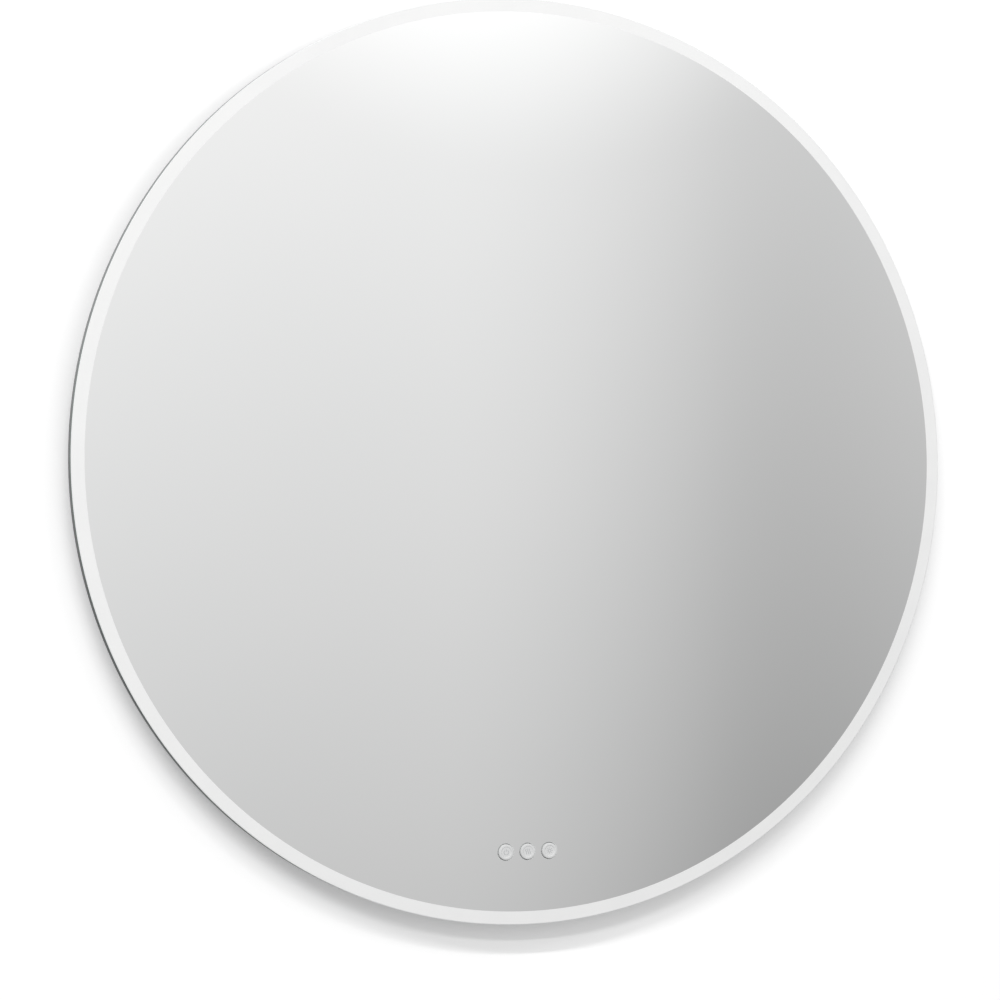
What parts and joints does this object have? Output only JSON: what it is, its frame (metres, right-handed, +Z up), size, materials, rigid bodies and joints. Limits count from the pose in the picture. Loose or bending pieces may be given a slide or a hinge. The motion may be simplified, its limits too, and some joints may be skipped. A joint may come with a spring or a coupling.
{
  "type": "lighted bathroom mirror",
  "caption": "Round wall mirror with a frosted lit border, heating pad, push buttons and a recessed casing that hangs on a wall bracket.",
  "frame": {"origin": "centre of the wall bracket's four screw holes, in the plane of the wall, level with the middle of the mirror", "axes": "+Z up, +Y from the mirror into the wall, +X to the right as seen from the front"},
  "size_m": [0.7999, 0.042, 0.8],
  "materials": {
    "clear_glass": "clear float glass with a ground edge",
    "silvering": "bright silver, painted behind",
    "frosted_white": "white frosted",
    "satin_aluminium": "satin anodised",
    "painted_sheet": "light grey powder coat",
    "zinc_steel": "zinc plated",
    "black_foam": "closed-cell foam",
    "black_rubber": "matt rubber",
    "pad_film": "amber film",
    "white_plastic": "satin moulded",
    "light_phosphor": "soft yellow silicone",
    "grey_plastic": "moulded",
    "brass_screws": "bright",
    "green_board": "solder mask",
    "button_white": "satin",
    "white_sheath": "soft sheath",
    "earth_green": "soft sheath"
  },
  "bodies": {
    "bracket": {"wall_bracket": "zinc_steel"},
    "mirror": {"mirror_glass": "clear_glass", "silver_layer": "silvering", "frosted_ring": "frosted_white", "diffuser_ring": "frosted_white", "edge_channel": "satin_aluminium", "chassis_ring": "satin_aluminium", "back_panel": "painted_sheet", "hanging_rail": "zinc_steel", "panel_screws": "zinc_steel", "rail_rivets": "zinc_steel", "rivet_nuts": "zinc_steel", "driver_screws": "zinc_steel", "clamp_screws": "zinc_steel", "block_screws": "zinc_steel", "board_screws": "zinc_steel", "earth_stud": "zinc_steel", "earth_washer": "zinc_steel", "earth_nut": "zinc_steel", "channel_tape": "black_foam", "chassis_tape": "black_foam", "control_tape": "black_foam", "panel_gasket": "black_foam", "wall_bumpers": "black_rubber", "mains_grommet": "black_rubber", "lead_bush": "black_rubber", "heating_pad": "pad_film", "led_driver": "white_plastic", "board_plug": "white_plastic", "led_board_ring": "white_plastic", "led_light_line": "light_phosphor", "terminal_block": "grey_plastic", "cord_clamp": "grey_plastic", "control_housing": "grey_plastic", "tact_switches": "grey_plastic", "terminal_screws": "brass_screws", "control_board": "green_board", "led_lead": "white_sheath", "supply_lead": "white_sheath", "pad_lead": "white_sheath", "switch_lead": "white_sheath", "earth_lead": "earth_green"},
    "button_left": {"button_left": "button_white", "switch_pin_left": "button_white"},
    "button_middle": {"button_middle": "button_white", "switch_pin_middle": "button_white"},
    "button_right": {"button_right": "button_white", "switch_pin_right": "button_white"}
  },
  "joints": [
    {"name": "mirror_lift", "type": "slide", "parent": "bracket", "child": "mirror", "axis": [0, 0, 1], "range_m": [0, 0.014]},
    {"name": "button_left_press", "type": "slide", "parent": "mirror", "child": "button_left", "axis": [0, 1, 0], "range_m": [0, 0.0008], "stiffness_N_per_m": 1500, "springref_m": -0.0004},
    {"name": "button_middle_press", "type": "slide", "parent": "mirror", "child": "button_middle", "axis": [0, 1, 0], "range_m": [0, 0.0008], "stiffness_N_per_m": 1500, "springref_m": -0.0004},
    {"name": "button_right_press", "type": "slide", "parent": "mirror", "child": "button_right", "axis": [0, 1, 0], "range_m": [0, 0.0008], "stiffness_N_per_m": 1500, "springref_m": -0.0004}
  ]
}
